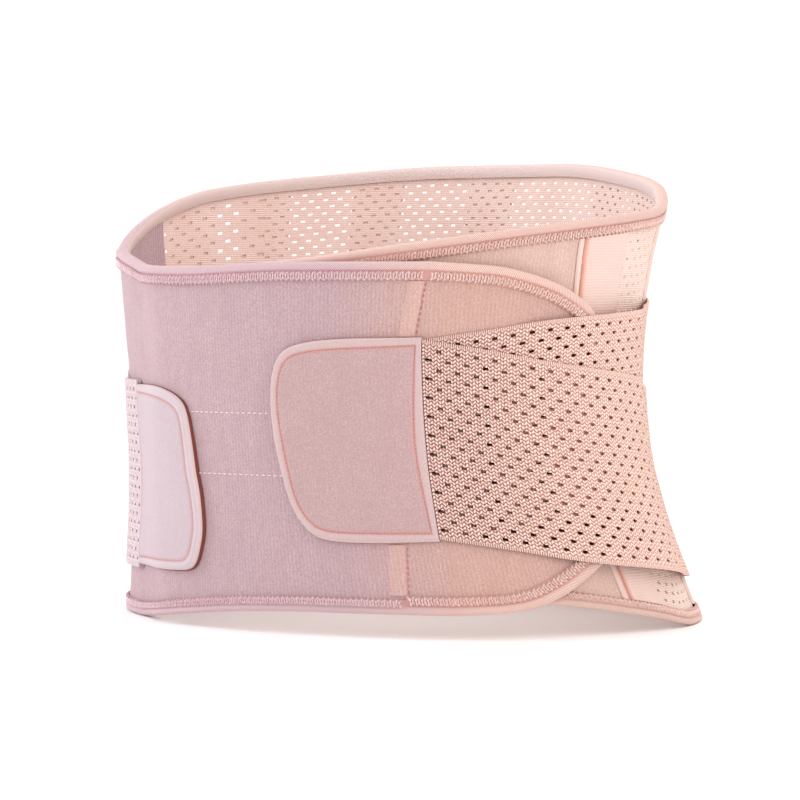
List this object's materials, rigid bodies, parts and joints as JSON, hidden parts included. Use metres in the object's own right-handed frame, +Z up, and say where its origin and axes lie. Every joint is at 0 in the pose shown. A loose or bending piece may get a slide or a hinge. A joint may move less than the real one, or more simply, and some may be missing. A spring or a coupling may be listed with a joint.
{
  "type": "lumbar support belt",
  "caption": "Wrap-round lower back belt in plush and net with bound edges, crossing net pull straps and two front tabs, fastened in a loop.",
  "frame": {"origin": "middle of the belt's box in plan, on the ground plane that its lower edge rests on", "axes": "+Z up, -Y towards the wearer's front, +X towards the wearer's left"},
  "size_m": [0.3152, 0.2648, 0.222],
  "materials": {
    "plush": "brushed plush knit",
    "net": "matt knitted net",
    "strap_net": "matt elastic net",
    "satin_tape": "smooth satin tape",
    "binding_tape": "folded elastic tape",
    "tab_plush": "short brushed nap"
  },
  "bodies": {
    "root": {"inner_front_panel": "plush", "outer_front_panel": "plush", "tongue": "plush", "back_net": "net", "bone_channel_back_left": "satin_tape", "bone_channel_mid_left": "satin_tape", "bone_channel_flank_left": "satin_tape", "bone_channel_side_left": "satin_tape", "corded_seam_left": "satin_tape", "bone_channel_back_right": "satin_tape", "bone_channel_mid_right": "satin_tape", "bone_channel_flank_right": "satin_tape", "bone_channel_side_right": "satin_tape", "corded_seam_right": "satin_tape", "upper_binding": "binding_tape", "lower_binding": "binding_tape", "tongue_binding": "binding_tape", "pull_tab_left": "tab_plush", "under_strap_left": "strap_net", "over_strap_left": "strap_net", "pull_tab_right": "tab_plush", "under_strap_right": "strap_net", "over_strap_right": "strap_net", "join_band_upper": "binding_tape", "join_band_lower": "binding_tape"}
  },
  "joints": []
}
